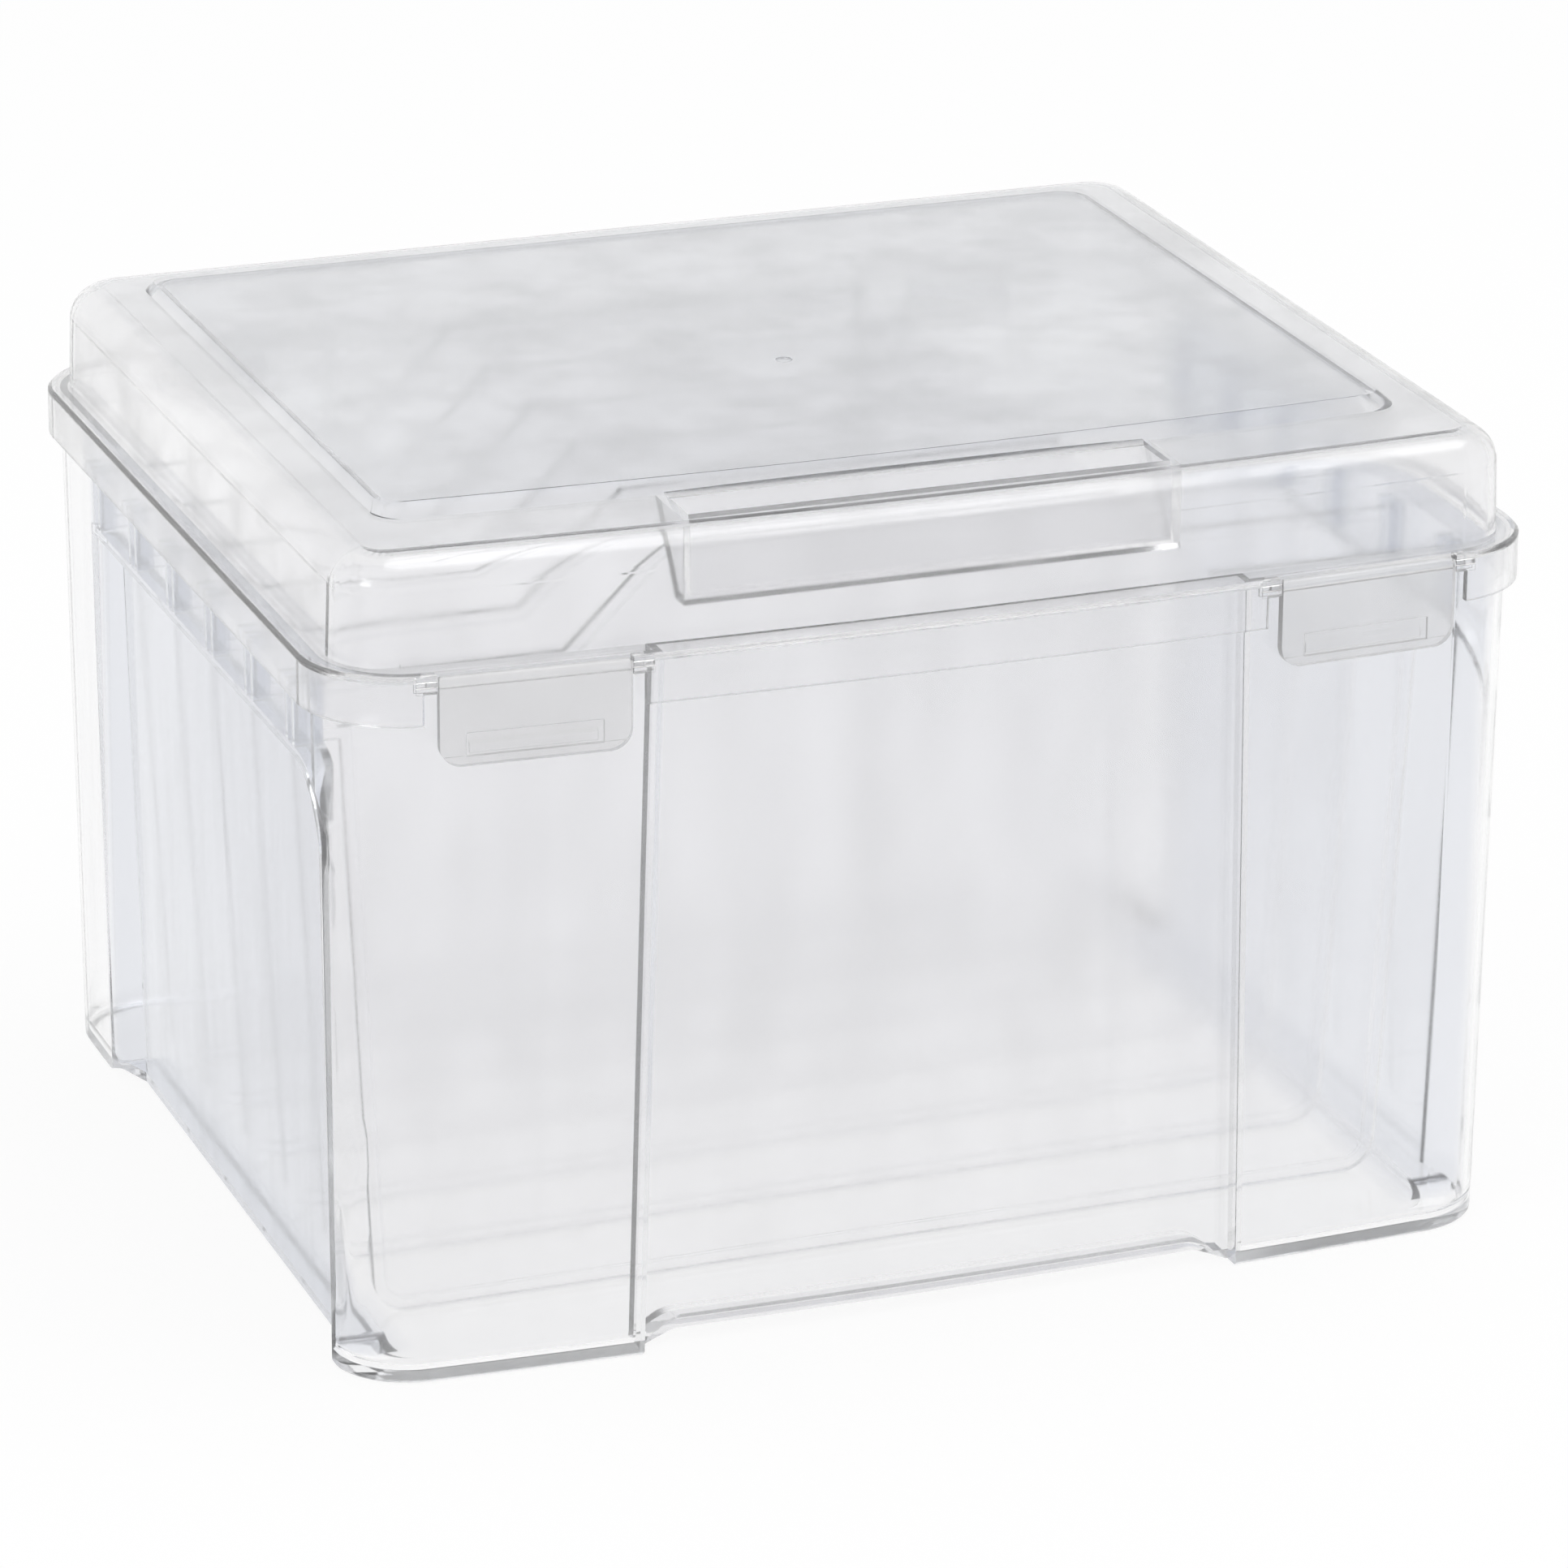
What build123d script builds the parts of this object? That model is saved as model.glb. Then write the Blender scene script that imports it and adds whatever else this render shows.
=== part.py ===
from build123d import *
import os
from math import radians, tan

# A clear photo keeper case: a bin, a domed lid, two snap latches and six lift-out dividers.

os.makedirs("parts", exist_ok=True)

# ---- Driving sizes, in millimetres. X is the width, Y runs to the back, Z is up from the feet.
case_width = 290.0  # over the lid's skirt
case_depth = 244.8  # over the skirt, at the ends of its bowed front
front_bow = 5.1  # how far the middle of the front stands out
corner_radius = 23.8  # plan corners of the skirt
wall = 1.8
seat_gap = 0.05  # between faces that rest on each other

skirt_bottom = 157.3
skirt_height = 11.3
dome_height = 24.2  # from the skirt's top to the lid's flat rim
plateau_rise = 2.1  # of the lid's raised middle above its rim

bin_draft = 0.67  # degrees that the bin's walls lean out
panel_depth = 4.7  # of the panels let into the bin's sides
panel_half_width = 69.5  # of the front and back panels, level with the ledges
panel_draft = 1.2  # degrees that their sides lean out downwards
ledge_drop = 28.6  # of the ledges that carry the dividers, below the skirt's top
front_arch_height = 3.5  # of the arches between the feet, seen from the front
side_arch_height = 2.6  # and from the side

divider_count = 6
divider_pitch = 31.2
first_divider_inset = 39.6  # of the first divider from the ends of the front
divider_edge = 2.2  # thickness of a divider's beaded edge and of its ears
ear_inset = 6.4  # of a divider's ears from the skirt's side

latch_inset = 46.4  # of a latch's middle from the skirt's side
latch_half_width = 21.7
latch_drop = 21.0  # of a latch's lower edge below the skirt's top
latch_axis_drop = 2.0
latch_axis_depth = 1.2  # behind the skirt's face
latch_pin_radius = 0.8
latch_barrel_radius = 1.5

hinge_inset = 46.4  # of a hinge's middle from the skirt's side
hinge_axis_out = 2.5  # behind the skirt's back face
hinge_axis_drop = 2.8  # below the skirt's bottom
hinge_bar_radius = 1.5
hinge_knuckle_radius = 2.6
pivot_clearance = 0.05

spare = 10.0  # how far a cutting form runs on past the faces that it cuts

# ---- Sizes that follow from them.
skirt_top = skirt_bottom + skirt_height
lid_rim = skirt_top + dome_height
plateau_top = lid_rim + plateau_rise
bin_top = skirt_top - wall - seat_gap
bin_top_inset = 2.9  # of the bin's rim from the skirt's outline
side_panel_top = skirt_top - ledge_drop
first_divider_y = first_divider_inset - case_depth / 2
divider_ys = [first_divider_y + divider_pitch * i for i in range(divider_count)]
ear_reach = case_width / 2 - ear_inset
latch_x = case_width / 2 - latch_inset
latch_bottom = skirt_top - latch_drop
latch_axis_z = skirt_top - latch_axis_drop
hinge_x = case_width / 2 - hinge_inset
hinge_axis_y = case_depth / 2 + hinge_axis_out
hinge_axis_z = skirt_bottom - hinge_axis_drop


def bin_inset(height):
    """How far the bin's outer wall lies inside the skirt's outline, at a height."""
    return bin_top_inset + (bin_top - height) * tan(radians(bin_draft))


def front_y(x, inset=0.0):
    """Where the bowed front lies at x, for an outline set in from the skirt's."""
    return -case_depth / 2 + inset - front_bow * (1 - (2 * x / case_width) ** 2)


def outline(height, side, front, back, radius):
    """The case's plan, a rounded rectangle with a bowed front, set in by side, front and back."""
    half = case_width / 2 - side
    rear = case_depth / 2 - back
    corner = front_y(half, front)
    with BuildSketch(Plane.XY.offset(height)) as plan:
        with BuildLine():
            ThreePointArc((-half, corner), (0, front_y(0, front)), (half, corner))
            Polyline((half, corner), (half, rear), (-half, rear), (-half, corner))
        make_face()
        fillet(plan.vertices(), radius)
    return plan.sketch


# ---- The bin. Its inner face is the outer one set in by a wall, so the same functions make both.
pillar_radius = 19.0  # plan corners at the foot
foot_round = 1.0
floor_round = 4.0  # inside, where the walls meet the floor
channel_half_width = 64.0  # flat part of the arch between two front feet
channel_run = 8.0  # over which a foot rises to the arch
arch_depth = 12.0  # how far the arches reach in under the floor
side_panel_front = divider_ys[0] - 20.2
side_panel_back = divider_ys[-1] + 3.4
side_panel_run = 14.0  # over which a side panel slopes down to its full depth
side_panel_round = 17.0
rib_thickness = 1.9
rib_overlap = 2.6  # how far a rib reaches in past the end of a divider's ear
rib_height = 18.0
slot_clearance = 0.4  # between a divider's ear and each rib
shelf_thickness = 1.8
hook_height = 1.8  # of a latch's hook
hook_gap = 0.3  # between the hook and the catch above it
catch_half_width = 14.5
catch_bottom = latch_bottom + hook_height + hook_gap
catch_height = 4.0
catch_depth = 2.3  # of the catch's face behind the skirt's face


def bin_block(inset, floor, edge_round):
    """The tapered body of the bin above floor, set in by inset, with rounded bottom edges."""
    reach = bin_inset(floor) + inset
    with BuildPart() as block:
        add(outline(floor, reach, reach, reach, pillar_radius - inset))
        extrude(amount=bin_top + spare)
        sides = block.faces().filter_by(Axis.Z, reverse=True)
        draft(sides, Plane.XY.offset(floor), -bin_draft)
        if edge_round:
            fillet(block.faces().sort_by(Axis.Z)[0].edges(), edge_round)
    return block.part


def panel_half(height):
    """Half the width of the front and back panels, at a height."""
    return panel_half_width + (side_panel_top - height) * tan(radians(panel_draft))


def panel_room(inset):
    """The room in front of the four panels, which keeps the bin's pillars apart."""
    face = case_width / 2 - bin_inset(0)
    outer = face + panel_depth
    room_top = bin_top + 2 * spare
    top_half = panel_half(room_top) + inset
    foot_half = panel_half(-spare) + inset
    with BuildPart() as room:
        with BuildSketch(Plane.XZ):
            with BuildLine():
                Polyline(
                    (-foot_half, -spare),
                    (-top_half, room_top),
                    (top_half, room_top),
                    (foot_half, -spare),
                    close=True,
                )
            make_face()
        extrude(amount=case_depth, both=True)
    with BuildPart() as side:
        with BuildSketch(Plane.YZ) as profile:
            with BuildLine():
                Polyline(
                    (side_panel_front - inset, -spare),
                    (side_panel_front - inset, side_panel_top + inset),
                    (side_panel_back + inset, side_panel_top + inset),
                    (side_panel_back + inset, -spare),
                    close=True,
                )
            make_face()
            top_corners = profile.vertices().group_by(Axis.Y)[-1].sort_by(Axis.X)
            fillet(top_corners[0], side_panel_round)
        extrude(amount=outer)
        with BuildSketch(Plane.XY.offset(-spare)):
            with BuildLine():
                Polyline(
                    (outer, side_panel_front - side_panel_run),
                    (face - panel_depth, side_panel_front + side_panel_run),
                    (face - panel_depth, side_panel_back - side_panel_run),
                    (outer, side_panel_back + side_panel_run),
                    close=True,
                )
            make_face()
            if inset:
                offset(amount=inset, kind=Kind.INTERSECTION)
        extrude(amount=bin_top, mode=Mode.INTERSECT)
        mirror(about=Plane.YZ)
    return room.part, side.part


def foot_arch(plane, middle, half, height):
    """A long arched channel across the bin's underside, which leaves a foot on each side of it."""
    with BuildPart() as arch:
        with BuildSketch(plane) as profile:
            with BuildLine():
                Polyline(
                    (middle - half - channel_run, -spare),
                    (middle - half - channel_run, 0),
                    (middle - half, height),
                    (middle + half, height),
                    (middle + half + channel_run, 0),
                    (middle + half + channel_run, -spare),
                    close=True,
                )
            make_face()
            fillet(profile.vertices().group_by(Axis.Y)[-1], channel_run)
        extrude(amount=case_width, both=True)
    return arch.part


def bin_form(inset):
    """The bin as a solid form, taller than its rim: a tapered block less its panels and arches."""
    block = bin_block(inset, inset, floor_round if inset else foot_round)
    panel_core = bin_block(inset + panel_depth, -panel_depth, 0)
    arch_core = bin_block(inset + arch_depth, -arch_depth, 0)
    room, side_rooms = panel_room(inset)
    side_middle = (side_panel_front + side_panel_back) / 2
    side_half = (side_panel_back - side_panel_front) / 2 - channel_run / 2
    front_arch = foot_arch(Plane.XZ, 0, channel_half_width, front_arch_height + inset)
    side_arch = foot_arch(Plane.YZ, side_middle, side_half, side_arch_height + inset)
    with BuildPart() as pockets:
        add(room)
        add(side_rooms)
        add(panel_core, mode=Mode.SUBTRACT)
    with BuildPart() as arches:
        add(front_arch)
        add(side_arch)
        add(arch_core, mode=Mode.SUBTRACT)
    with BuildPart() as form:
        add(block)
        add(pockets, mode=Mode.SUBTRACT)
        add(arches, mode=Mode.SUBTRACT)
    return form.part


def latch_planes(x):
    """Planes at a latch, square to the bowed front: one seen from the side, one from the front.

    On the side plane the first axis runs inward from the skirt's face and the second is Z up.
    """
    slope = 8 * front_bow * x / case_width**2
    along = Vector(1, slope, 0).normalized()
    inward = Vector(0, 0, 1).cross(along)
    face = Vector(x, front_y(x), 0)
    side_plane = Plane(origin=face, x_dir=inward, z_dir=along)
    front_plane = Plane(origin=face, x_dir=along, z_dir=-inward)
    return side_plane, front_plane


outer_form = bin_form(0)
inner_form = bin_form(wall)
lug_thickness = 3.0
lug_gap = 28.0  # between the two lugs of one hinge
lug_drop = 13.5  # of a lug's foot below the hinge's axis
bar_length = lug_gap + 2 * lug_thickness

with BuildPart() as base_bin:
    add(outer_form)
    add(inner_form, mode=Mode.SUBTRACT)
    split(bisect_by=Plane.XY.offset(bin_top), keep=Keep.BOTTOM)

    # Pairs of upright ribs that hold each divider's ears, above the ledge.
    rib_inner_x = ear_reach - rib_overlap
    rib_reach = case_width / 2 - bin_inset(side_panel_top) - wall / 2 - rib_inner_x
    rib_offset = (divider_edge + rib_thickness) / 2 + slot_clearance
    rib_x = rib_inner_x + rib_reach / 2
    with BuildSketch(Plane.XY.offset(side_panel_top + wall / 2)):
        for y in divider_ys:
            with Locations(*[(sx * rib_x, y + sy * rib_offset) for sx in (-1, 1) for sy in (-1, 1)]):
                Rectangle(rib_reach, rib_thickness)
    extrude(amount=rib_height - wall / 2)

    # The rearmost pair stands behind the side panel's ledge, so it has a shelf of its own.
    with BuildSketch(Plane.XY.offset(side_panel_top)):
        with Locations((-rib_x, divider_ys[-1]), (rib_x, divider_ys[-1])):
            Rectangle(rib_reach, 2 * rib_offset + rib_thickness)
    extrude(amount=shelf_thickness)

    # The catches that the latches snap over, with a sloped lead-in on top.
    for x in (-latch_x, latch_x):
        side_plane, front_plane = latch_planes(x)
        root = bin_inset(catch_bottom) + wall / 2
        with BuildSketch(side_plane):
            with BuildLine():
                Polyline(
                    (root, catch_bottom),
                    (catch_depth, catch_bottom),
                    (catch_depth, catch_bottom + catch_height / 2),
                    (root, catch_bottom + catch_height),
                    close=True,
                )
            make_face()
        extrude(amount=catch_half_width, both=True)

    # The hinge bars at the back, each held between two lugs.
    lug_root = case_depth / 2 - bin_inset(hinge_axis_z) - wall / 2
    for x in (-hinge_x, hinge_x):
        lug_middle = (lug_gap + lug_thickness) / 2
        for lug_x in (x - lug_middle, x + lug_middle):
            with BuildSketch(Plane.YZ.offset(lug_x - lug_thickness / 2)):
                with BuildLine():
                    CenterArc((hinge_axis_y, hinge_axis_z), hinge_knuckle_radius, 0, 360)
                    Line((lug_root, hinge_axis_z - lug_drop), (lug_root, hinge_axis_z + hinge_knuckle_radius))
                make_hull()
            extrude(amount=lug_thickness)
        with BuildSketch(Plane.YZ.offset(x - bar_length / 2)):
            with Locations((hinge_axis_y, hinge_axis_z)):
                Circle(hinge_bar_radius)
        extrude(amount=bar_length)


# ---- The lid, a domed shell made the same way: an outer form less one set in by a wall.
dome_side_inset = 5.7
dome_end_inset = 7.2
dome_radius = 13.8
dome_draft = 1.9
dome_round = 8.3
skirt_chamfer = 0.9
plateau_side_inset = 22.7
plateau_slope_side = 2.0
plateau_front_inset = 34.8
plateau_slope_front = 6.2  # the long slope down to the finger scoop
plateau_back_inset = 22.4
plateau_radius = 7.0
scoop_half_width = 57.2
scoop_depth = 18.3  # below the lid's rim
scoop_back_rise = 0.5  # of the slope's upper end above the rim
scoop_back_inset = 31.4  # these three from the ends of the front
scoop_floor_back_inset = 18.4
scoop_front_inset = 15.6
latch_end_gap = 3.3  # between a latch's end and the skirt beyond it
latch_opening_depth = latch_axis_depth + latch_barrel_radius + 0.4
latch_lug_gap = 0.3  # between a latch's end and its lug
lug_face_depth = -0.1
lug_back_depth = latch_axis_depth + latch_barrel_radius
lug_skirt_drop = 1.9  # of a lug's underside below the latch's axis
clip_side_gap = 0.5  # between a clip and the lug beside it
clip_width = lug_gap - 2 * clip_side_gap
clip_mouth = 2.4
clip_root_y = case_depth / 2 - wall / 2
clip_foot_z = skirt_bottom + 0.7
clip_head_z = clip_foot_z + 7.0
gate_radius = 2.0
gate_depth = 0.4
gate_y = -13.8


def lid_form(inset):
    """The lid as a solid form: skirt, dome and plateau, set in by inset."""
    bottom = skirt_bottom - spare if inset else skirt_bottom
    side = dome_side_inset + inset
    end = dome_end_inset + inset
    with BuildPart() as skirt:
        add(outline(bottom, inset, inset, inset, corner_radius - inset))
        extrude(amount=skirt_top - inset - bottom)
        if not inset:
            chamfer(skirt.faces().sort_by(Axis.Z)[-1].edges(), skirt_chamfer)
    with BuildPart() as dome:
        add(outline(skirt_top - 2 * wall, side, end, end, dome_radius - inset))
        extrude(amount=lid_rim - inset - skirt_top + 2 * wall, taper=dome_draft)
        fillet(dome.faces().sort_by(Axis.Z)[-1].edges(), dome_round - inset)
    with BuildPart() as plateau:
        foot = (plateau_side_inset + inset, plateau_front_inset + inset, plateau_back_inset + inset)
        head = (foot[0] + plateau_slope_side, foot[1] + plateau_slope_front, foot[2] + plateau_slope_side)
        add(outline(lid_rim - inset, *foot, plateau_radius))
        add(outline(plateau_top - inset, *head, plateau_radius - plateau_slope_side))
        loft(ruled=True)
    with BuildPart() as form:
        add(skirt)
        add(dome)
        add(plateau)
    return form.part


def scoop_form(inset):
    """The finger scoop sunk behind the lid's front: a slope, a narrow floor and an upright front."""
    front_end = -case_depth / 2
    scoop_back_y = front_end + scoop_back_inset
    scoop_floor_back_y = front_end + scoop_floor_back_inset
    scoop_front_y = front_end + scoop_front_inset
    scoop_floor = lid_rim - scoop_depth
    with BuildPart() as scoop:
        with BuildSketch(Plane.YZ):
            with BuildLine():
                Polyline(
                    (scoop_back_y, plateau_top + wall),
                    (scoop_back_y, lid_rim + scoop_back_rise),
                    (scoop_floor_back_y, scoop_floor),
                    (scoop_front_y, scoop_floor),
                    (scoop_front_y, plateau_top + wall),
                    close=True,
                )
            make_face()
            if inset:
                offset(amount=inset, kind=Kind.INTERSECTION)
        extrude(amount=scoop_half_width + inset, both=True)
    return scoop.part


outer_lid = lid_form(0)
inner_lid = lid_form(wall)
scoop = scoop_form(0)
scoop_walls = scoop_form(wall) & outer_lid

latch_opening_half = latch_half_width + latch_end_gap

with BuildPart() as lid:
    add(outer_lid)
    add(inner_lid, mode=Mode.SUBTRACT)
    add(scoop_walls)
    add(scoop, mode=Mode.SUBTRACT)

    # An opening in the skirt for each latch, with a lug at each end to take its pins.
    for x in (-latch_x, latch_x):
        side_plane, front_plane = latch_planes(x)
        with BuildSketch(front_plane.offset(corner_radius)):
            with Locations((0, (skirt_bottom + skirt_top) / 2)):
                Rectangle(2 * latch_opening_half, skirt_top - skirt_bottom + 2 * spare)
        extrude(amount=-corner_radius - latch_opening_depth, mode=Mode.SUBTRACT)
        lug_start = latch_half_width + latch_lug_gap
        lug_end = latch_opening_half + wall
        for end in (-1, 1):
            lug_bottom = latch_axis_z - lug_skirt_drop
            with BuildSketch(side_plane.offset(end * (lug_start + lug_end) / 2)):
                with Locations(((lug_face_depth + lug_back_depth) / 2, (lug_bottom + skirt_top) / 2)):
                    Rectangle(lug_back_depth - lug_face_depth, skirt_top - lug_bottom)
            extrude(amount=(lug_end - lug_start) / 2, both=True)
        with BuildSketch(side_plane):
            with Locations((latch_axis_depth, latch_axis_z)):
                Circle(latch_pin_radius + pivot_clearance)
        extrude(amount=lug_end, both=True, mode=Mode.SUBTRACT)

    # Clips at the back that snap onto the bin's hinge bars, open below.
    for x in (-hinge_x, hinge_x):
        with BuildSketch(Plane.YZ.offset(x - clip_width / 2)) as clip:
            with BuildLine():
                CenterArc((hinge_axis_y, hinge_axis_z), hinge_knuckle_radius, 0, 360)
                Line((clip_root_y, clip_foot_z), (clip_root_y, clip_head_z))
            make_hull()
            with Locations((hinge_axis_y, hinge_axis_z)):
                Circle(hinge_bar_radius + pivot_clearance, mode=Mode.SUBTRACT)
            with Locations((hinge_axis_y, hinge_axis_z - hinge_knuckle_radius)):
                Rectangle(clip_mouth, 2 * hinge_knuckle_radius, mode=Mode.SUBTRACT)
        extrude(amount=clip_width)

    # The moulding gate's dimple in the middle of the top.
    with BuildSketch(Plane.XY.offset(plateau_top)):
        with Locations((0, gate_y)):
            Circle(gate_radius)
    extrude(amount=-gate_depth, mode=Mode.SUBTRACT)


# ---- The latches, which swing on pins under the edge of the lid.
latch_thickness = 2.1
latch_face_depth = -0.3  # the latch's face stands just proud of the skirt
latch_corner = 5.0
latch_top_round = 1.0
hook_clearance = 0.2  # between the hook and the catch's face while the latch hangs at rest
hook_depth = catch_depth - hook_clearance
catch_window_top = catch_bottom + catch_height + 1.1
catch_window_half = catch_half_width + 1.0
catch_window_depth = 1.0
pin_length = 2.7


def make_latch(x):
    """A latch plate with a barrel on top, pins at its ends and a hook below a recess for the catch."""
    side_plane, front_plane = latch_planes(x)
    back_depth = latch_face_depth + latch_thickness
    hook_top = catch_bottom - hook_gap
    with BuildPart() as latch:
        with BuildSketch(side_plane):
            with BuildLine():
                Polyline(
                    (latch_face_depth, latch_axis_z),
                    (latch_face_depth, latch_bottom),
                    (hook_depth, latch_bottom),
                    (hook_depth, hook_top),
                    (catch_window_depth, hook_top),
                    (catch_window_depth, catch_window_top),
                    (back_depth, catch_window_top),
                    (back_depth, latch_axis_z),
                    close=True,
                )
            make_face()
            with Locations((latch_axis_depth, latch_axis_z)):
                Circle(latch_barrel_radius)
        extrude(amount=latch_half_width, both=True)
        # solid cheeks at both sides of the catch's recess
        cheek = (latch_half_width - catch_window_half) / 2
        for end in (-1, 1):
            with BuildSketch(side_plane.offset(end * (latch_half_width - cheek))):
                with Locations(((latch_face_depth + back_depth) / 2, (hook_top + catch_window_top) / 2)):
                    Rectangle(latch_thickness, catch_window_top - hook_top + hook_height / 2)
            extrude(amount=cheek, both=True)
        # the plate's outline, with wide corners at the bottom
        with BuildSketch(front_plane.offset(latch_thickness)) as front:
            with Locations((0, (latch_bottom + latch_axis_z + latch_barrel_radius) / 2)):
                Rectangle(2 * latch_half_width, latch_axis_z + latch_barrel_radius - latch_bottom)
            fillet(front.vertices().group_by(Axis.Y)[0], latch_corner)
            fillet(front.vertices().group_by(Axis.Y)[-1], latch_top_round)
        extrude(amount=-spare, mode=Mode.INTERSECT)
        with BuildSketch(side_plane):
            with Locations((latch_axis_depth, latch_axis_z)):
                Circle(latch_pin_radius)
        extrude(amount=latch_half_width + pin_length, both=True)
    return latch


latch_left = make_latch(-latch_x)
latch_right = make_latch(latch_x)


# ---- The dividers, thin sheets with a beaded edge that hang by their ears on the bin's ledges.
divider_foot_gap = 0.5  # under a divider, above the bin's floor
divider_foot_inset = 21.2  # of its lower corners from the skirt's side
divider_side_inset = 14.4  # of its sides below the ears
ear_height = 14.15
tab_foot_half = 78.0
tab_half = 53.5
tab_height = 24.0
bead_width = 2.8
web_thickness = 1.2
foot_corner = 8.0
tab_corner = 6.0


def make_divider(y):
    """A divider at y: a thin web inside a thicker bead that follows its outline."""
    foot = wall + divider_foot_gap
    foot_half = case_width / 2 - divider_foot_inset
    side_half = case_width / 2 - divider_side_inset
    ear_seat = side_panel_top + wall + seat_gap
    shoulder = ear_seat + ear_height
    right = [
        (foot_half, foot),
        (side_half, ear_seat),
        (ear_reach, ear_seat),
        (ear_reach, shoulder),
        (tab_foot_half, shoulder),
        (tab_half, shoulder + tab_height),
    ]
    left = [(-x, z) for x, z in reversed(right)]
    with BuildPart() as divider:
        with BuildSketch(Plane.XZ.offset(-y)) as sheet:
            with BuildLine():
                Polyline(*right, *left, close=True)
            make_face()
            levels = sheet.vertices().group_by(Axis.Y)
            fillet(levels[0], foot_corner)
            tab_roots = levels[2].sort_by(Axis.X)[1:-1]
            fillet(tab_roots + levels[-1], tab_corner)
        extrude(amount=web_thickness / 2, both=True)
        with BuildSketch(Plane.XZ.offset(-y)):
            add(sheet.sketch_local)
            offset(sheet.sketch_local, amount=-bead_width, kind=Kind.INTERSECTION, mode=Mode.SUBTRACT)
        extrude(amount=divider_edge / 2, both=True)
    return divider


pieces = {"base_bin": base_bin, "lid": lid, "latch_left": latch_left, "latch_right": latch_right}
for number, y in enumerate(divider_ys, start=1):
    pieces[f"divider_{number}"] = make_divider(y)

for name, piece in pieces.items():
    piece.part.label = name
    export_step(piece.part, f"parts/{name}.step")
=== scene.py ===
from math import radians

import bpy
from mathutils import Matrix, Vector

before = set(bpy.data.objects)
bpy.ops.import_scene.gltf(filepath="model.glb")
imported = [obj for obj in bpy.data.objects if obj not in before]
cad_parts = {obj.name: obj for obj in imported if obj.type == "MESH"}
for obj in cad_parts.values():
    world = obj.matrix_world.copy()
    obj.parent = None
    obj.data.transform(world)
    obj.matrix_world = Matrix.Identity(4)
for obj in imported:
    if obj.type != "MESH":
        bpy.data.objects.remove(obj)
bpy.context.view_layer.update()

scene = bpy.context.scene
bpy.ops.object.select_all(action="DESELECT")

# ---- Camera. A long lens about 1.8 m away, turned about 20 degrees to the case's left and looking
# about 20 degrees down on the lid, the latched front and the left side.
camera_turn = radians(-20.55)
camera_height = radians(20.12)
camera_roll = radians(0.34)
camera_distance = 1.784
camera_target = Vector((0, 0, 0.1))
camera_data = bpy.data.cameras.new("camera")
camera_data.lens = 172.5
camera_data.sensor_width = 36
camera_data.shift_x = 0.01487
camera_data.shift_y = -0.03769
camera_data.clip_start = 0.05
camera = bpy.data.objects.new("camera", camera_data)
scene.collection.objects.link(camera)
swing = Matrix.Rotation(camera_turn, 4, "Z") @ Matrix.Rotation(radians(90) - camera_height, 4, "X")
camera.matrix_world = (
    Matrix.Translation(camera_target)
    @ swing
    @ Matrix.Rotation(camera_roll, 4, "Z")
    @ Matrix.Translation((0, 0, camera_distance))
)
scene.camera = camera

# ---- Studio. A pale room, white at eye level and a little greyer overhead, and two soft boxes.
# Light runs a long way along clear plastic, so it is followed through many bounces.
bounce_limit = 48
diffuse_bounce_limit = 8
sample_clamp = 4
zenith_grey = 0.82
greyest_height = 0.5  # sine of the angle above eye level
scene.view_settings.view_transform = "Standard"
scene.cycles.max_bounces = bounce_limit
scene.cycles.transmission_bounces = bounce_limit
scene.cycles.glossy_bounces = bounce_limit
scene.cycles.diffuse_bounces = diffuse_bounce_limit
scene.cycles.sample_clamp_indirect = sample_clamp

room = bpy.data.worlds.new("studio_room")
scene.world = room
room.use_nodes = True
nodes = room.node_tree.nodes
links = room.node_tree.links
direction = nodes.new("ShaderNodeTexCoord")
height = nodes.new("ShaderNodeSeparateXYZ")
shade = nodes.new("ShaderNodeValToRGB")
shade.color_ramp.elements[0].color = (1, 1, 1, 1)
shade.color_ramp.elements[1].position = greyest_height
shade.color_ramp.elements[1].color = (zenith_grey, zenith_grey, zenith_grey, 1)
links.new(direction.outputs["Generated"], height.inputs[0])
links.new(height.outputs["Z"], shade.inputs["Fac"])
links.new(shade.outputs["Color"], nodes["Background"].inputs["Color"])


def soft_box(name, place, size, power):
    """A square soft box at place that faces the case."""
    lamp = bpy.data.lights.new(name, "AREA")
    lamp.shape = "SQUARE"
    lamp.size = size
    lamp.energy = power
    holder = bpy.data.objects.new(name, lamp)
    scene.collection.objects.link(holder)
    holder.location = place
    holder.rotation_euler = (Vector(place) - camera_target).to_track_quat("Z", "Y").to_euler()


soft_box("overhead_box", place=(0.35, -0.2, 1.35), size=0.9, power=6)
soft_box("left_box", place=(-1.3, -0.9, 0.8), size=0.6, power=4)

# ---- Floor. A white paper sweep that shows as white to the eye and in the plastic, and still
# keeps a trace of the case's shadow.
floor_size = 8
floor_drop = 0.0002
floor_paper_colour = (0.9, 0.9, 0.9, 1)
floor_glow = 0.92
bpy.ops.mesh.primitive_plane_add(size=floor_size, location=(0, 0, -floor_drop))
floor = bpy.context.object
floor.name = "floor"
floor_paper = bpy.data.materials.new("floor_paper")
floor_paper.use_nodes = True
nodes = floor_paper.node_tree.nodes
links = floor_paper.node_tree.links
nodes.clear()
paper = nodes.new("ShaderNodeBsdfDiffuse")
paper.inputs["Color"].default_value = floor_paper_colour
glow = nodes.new("ShaderNodeEmission")
ray = nodes.new("ShaderNodeLightPath")
seen = nodes.new("ShaderNodeMath")
seen.operation = "MAXIMUM"
seen_in_plastic = nodes.new("ShaderNodeMath")
seen_in_plastic.operation = "MAXIMUM"
share = nodes.new("ShaderNodeMath")
share.operation = "MULTIPLY"
share.inputs[1].default_value = floor_glow
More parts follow.
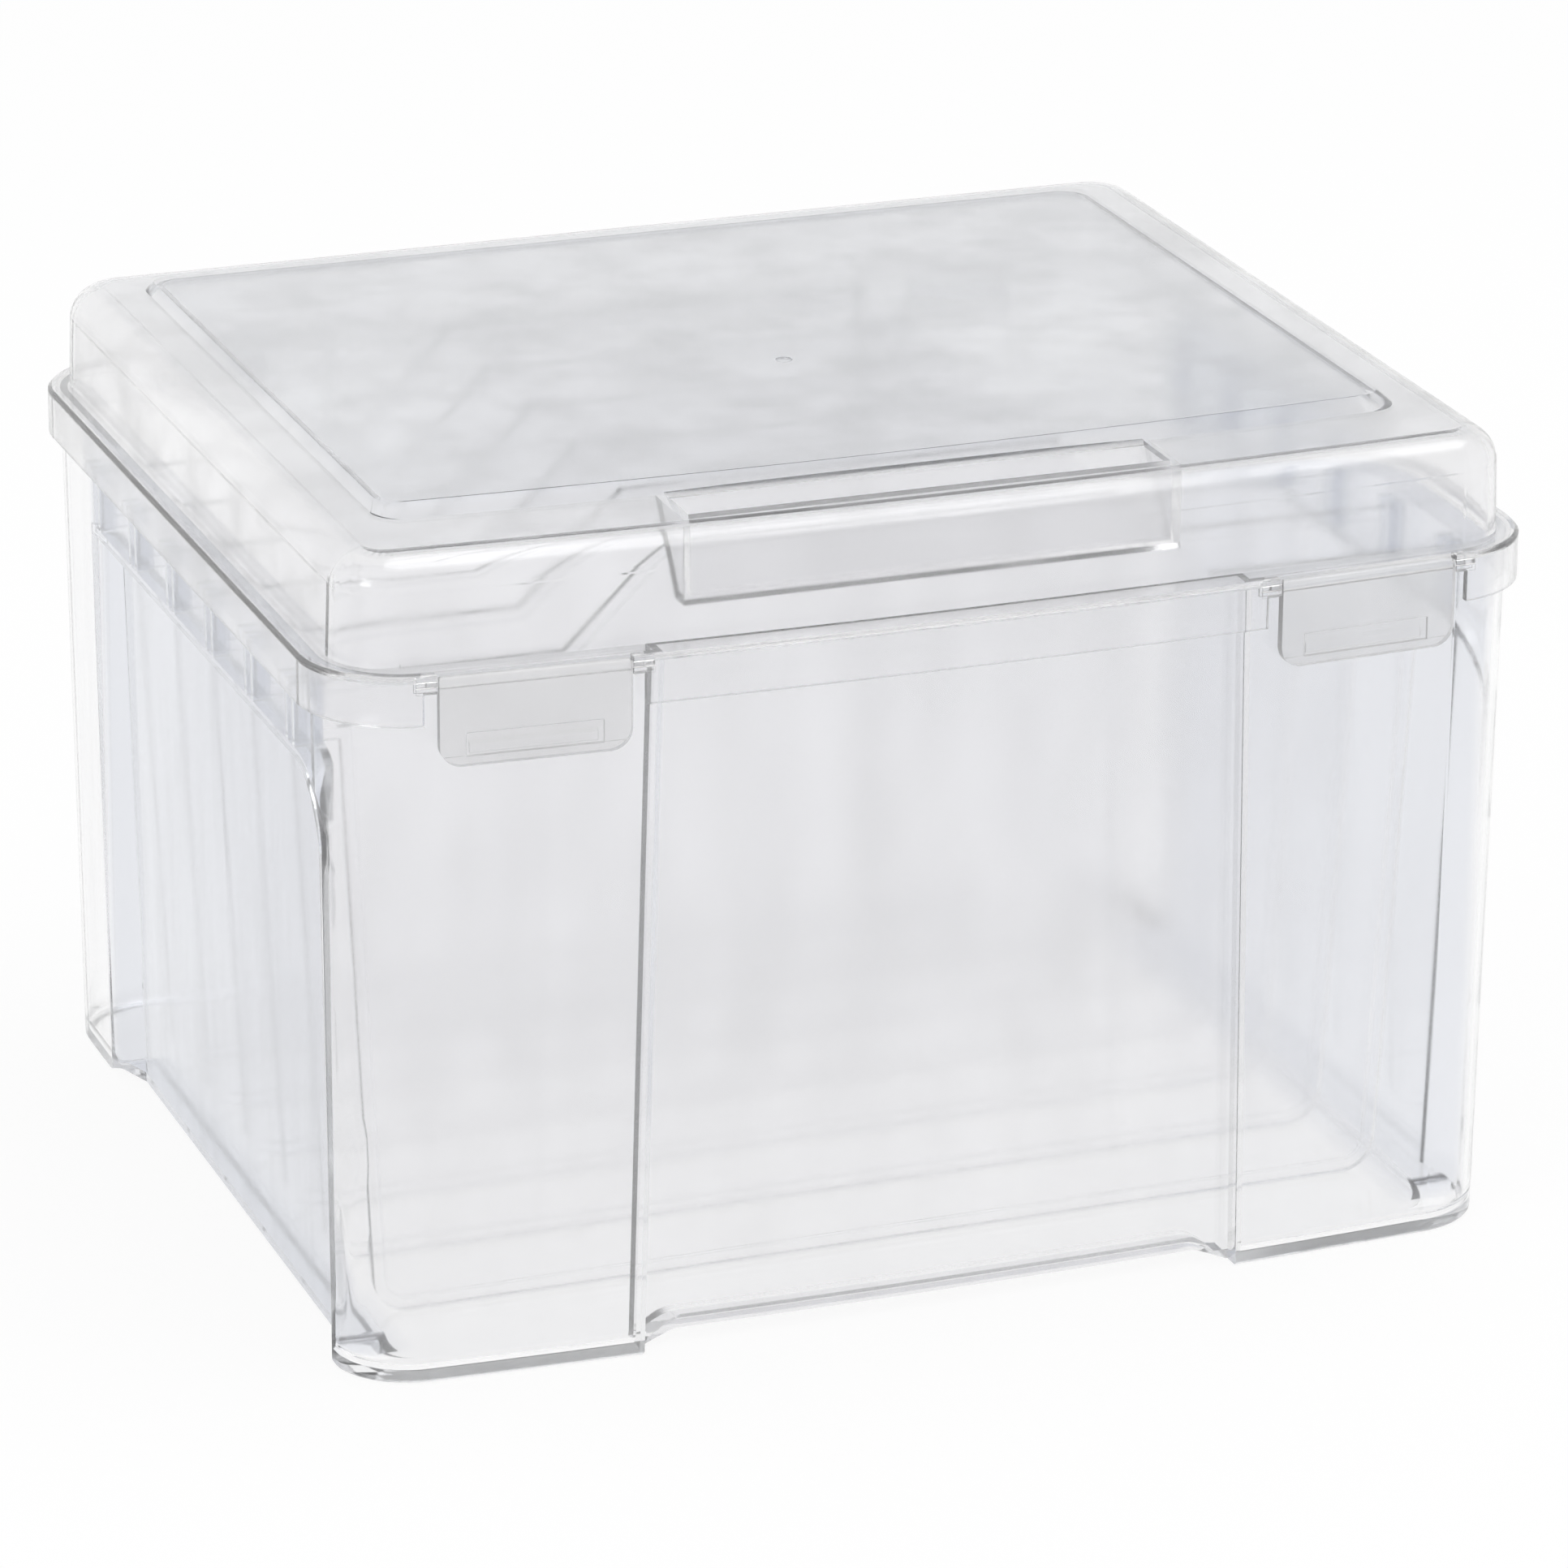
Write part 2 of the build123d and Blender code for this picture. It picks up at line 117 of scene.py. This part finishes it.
blend = nodes.new("ShaderNodeMixShader")
out = nodes.new("ShaderNodeOutputMaterial")
links.new(ray.outputs["Is Camera Ray"], seen.inputs[0])
links.new(ray.outputs["Is Transmission Ray"], seen.inputs[1])
links.new(seen.outputs[0], seen_in_plastic.inputs[0])
links.new(ray.outputs["Is Glossy Ray"], seen_in_plastic.inputs[1])
links.new(seen_in_plastic.outputs[0], share.inputs[0])
links.new(share.outputs[0], blend.inputs["Fac"])
links.new(paper.outputs[0], blend.inputs[1])
links.new(glow.outputs[0], blend.inputs[2])
links.new(blend.outputs[0], out.inputs["Surface"])
floor.data.materials.append(floor_paper)

# ---- Bin. One injection moulding in clear polypropylene, with a polished mould's gloss. Its side
# panels carry a painted shade in their colour. The plastic flowed up the walls from the floor, so
# its haze and its faint ripple run in upright streaks.
plastic_bend = 1.49  # index of refraction
cloud_scale = 14
cloud_dimming = 0.99
cloud_edges = (0.35, 0.65)
streak_edges = (0.3, 0.7)
haze_spread = (0.6, 1.3)
ripple_height = 0.0005
depth_colour = (0.75, 0.79, 0.84, 1)
depth_density = 1
# colour of the painted shade on the bin's side panels
side_panel_painted_shade = (0.83, 0.845, 0.88)
panel_middle = 0.0132  # how far the middle of the side panels lies towards the front


def clear_plastic(name, colour, clearness, haze, ripple, flow):
    """Clear plastic that clouds a little where clearness is under 1, its haze streaked by flow."""
    plastic = bpy.data.materials.new(name)
    plastic.use_nodes = True
    nodes = plastic.node_tree.nodes
    links = plastic.node_tree.links
    shader = nodes["Principled BSDF"]
    shader.inputs["IOR"].default_value = plastic_bend
    shader.inputs["Transmission Weight"].default_value = clearness

    place = nodes.new("ShaderNodeTexCoord")
    clouds = nodes.new("ShaderNodeTexNoise")
    clouds.inputs["Scale"].default_value = cloud_scale
    clouds.inputs["Detail"].default_value = 2
    tint = nodes.new("ShaderNodeValToRGB")
    tint.color_ramp.elements[0].position = cloud_edges[0]
    tint.color_ramp.elements[0].color = (*(c * cloud_dimming for c in colour), 1)
    tint.color_ramp.elements[1].position = cloud_edges[1]
    tint.color_ramp.elements[1].color = (*colour, 1)
    links.new(place.outputs["Object"], clouds.inputs["Vector"])
    links.new(clouds.outputs["Fac"], tint.inputs["Fac"])
    links.new(tint.outputs["Color"], shader.inputs["Base Color"])

    stretch = nodes.new("ShaderNodeMapping")
    stretch.inputs["Scale"].default_value = flow
    streaks = nodes.new("ShaderNodeTexNoise")
    streaks.inputs["Scale"].default_value = 1
    streaks.inputs["Detail"].default_value = 2
    polish = nodes.new("ShaderNodeMapRange")
    polish.inputs["From Min"].default_value = streak_edges[0]
    polish.inputs["From Max"].default_value = streak_edges[1]
    polish.inputs["To Min"].default_value = haze * haze_spread[0]
    polish.inputs["To Max"].default_value = haze * haze_spread[1]
    wave = nodes.new("ShaderNodeBump")
    wave.inputs["Strength"].default_value = ripple
    wave.inputs["Distance"].default_value = ripple_height
    links.new(place.outputs["Object"], stretch.inputs["Vector"])
    links.new(stretch.outputs["Vector"], streaks.inputs["Vector"])
    links.new(streaks.outputs["Fac"], polish.inputs["Value"])
    links.new(polish.outputs["Result"], shader.inputs["Roughness"])
    links.new(streaks.outputs["Fac"], wave.inputs["Height"])
    links.new(wave.outputs["Normal"], shader.inputs["Normal"])

    depth = nodes.new("ShaderNodeVolumeAbsorption")
    depth.inputs["Color"].default_value = depth_colour
    depth.inputs["Density"].default_value = depth_density
    links.new(depth.outputs[0], nodes["Material Output"].inputs["Volume"])
    return plastic


def paint_shade(plastic, colour, *bounds):
    """Paints shade into a plastic's colour inside one or two bounds (axis, shift, where none,
    where full).
    """
    nodes = plastic.node_tree.nodes
    links = plastic.node_tree.links
    base_colour = nodes["Principled BSDF"].inputs["Base Color"]
    even_colour = base_colour.links[0].from_socket
    axes = nodes.new("ShaderNodeSeparateXYZ")
    links.new(nodes["Texture Coordinate"].outputs["Object"], axes.inputs[0])
    inside = nodes.new("ShaderNodeMath")
    inside.operation = "MULTIPLY"
    inside.inputs[1].default_value = 1
    for n, (axis, shift, none, full) in enumerate(bounds):
        shifted = nodes.new("ShaderNodeMath")
        shifted.inputs[1].default_value = shift
        from_middle = nodes.new("ShaderNodeMath")
        from_middle.operation = "ABSOLUTE"
        within = nodes.new("ShaderNodeMapRange")
        within.inputs["From Min"].default_value = none
        within.inputs["From Max"].default_value = full
        links.new(axes.outputs[axis], shifted.inputs[0])
        links.new(shifted.outputs[0], from_middle.inputs[0])
        links.new(from_middle.outputs[0], within.inputs["Value"])
        links.new(within.outputs["Result"], inside.inputs[n])
    # A colour Mix node takes its colours at sockets 6 and 7 and gives its result at 2.
    # The Mix multiplies the painted shade colour into the plastic's colour inside the bounds.
    painted_shade_mix = nodes.new("ShaderNodeMix")
    painted_shade_mix.data_type = "RGBA"
    painted_shade_mix.blend_type = "MULTIPLY"
    painted_shade_mix.inputs[7].default_value = (*colour, 1)
    links.new(inside.outputs[0], painted_shade_mix.inputs[0])
    links.new(even_colour, painted_shade_mix.inputs[6])
    links.new(painted_shade_mix.outputs[2], base_colour)


def mould_in(plastic, *names):
    """Gives the named pieces a plastic."""
    for name in names:
        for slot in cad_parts[name].material_slots:
            slot.material = plastic


bin_plastic = clear_plastic(
    "bin_plastic",
    colour=(0.997, 0.997, 1),
    clearness=0.998,
    haze=0.08,
    ripple=0.03,
    flow=(110, 110, 18),
)
# Paints shade into the colour of the bin's side panels.
paint_shade(bin_plastic, side_panel_painted_shade, ("X", 0, 0.12, 0.13), ("Y", panel_middle, 0.092, 0.088))
mould_in(bin_plastic, "base_bin")

# ---- Lid. The same polypropylene, gated in the middle of its raised plateau and cooled slower, so
# it is cloudier and its flow ripple is rounder. The plateau's colour holds a painted shade, and
# clips at the back hold the lid to the bin's bars.
# colour of the painted shade on the lid's raised plateau
plateau_painted_shade = (0.84, 0.85, 0.87)
lid_plastic = clear_plastic(
    "lid_plastic",
    colour=(0.988, 0.988, 0.992),
    clearness=0.975,
    haze=0.12,
    ripple=0.05,
    flow=(60, 60, 60),
)
# Paints shade into the colour of the lid's raised plateau.
paint_shade(lid_plastic, plateau_painted_shade, ("Z", 0, 0.192, 0.193))
mould_in(lid_plastic, "lid")

# ---- Latches. Two flaps that snap over the bin's catches, moulded in a tougher, milky grade.
# They are hinged on pins behind the lid's skirt.
latch_plastic = clear_plastic(
    "latch_plastic",
    colour=(0.93, 0.93, 0.935),
    clearness=0.8,
    haze=0.2,
    ripple=0.005,
    flow=(60, 60, 40),
)
mould_in(latch_plastic, "latch_left", "latch_right")

# ---- Dividers. Six thin lift-out panels with a beaded edge, in a clear grade with a cool cast and
# a finely frosted face. Their ears drop between the bin's ribs.
divider_plastic = clear_plastic(
    "divider_plastic",
    colour=(0.996, 0.996, 1),
    clearness=0.998,
    haze=0.11,
    ripple=0.03,
    flow=(90, 90, 30),
)
dividers = [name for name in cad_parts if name.startswith("divider_")]
mould_in(divider_plastic, *dividers)
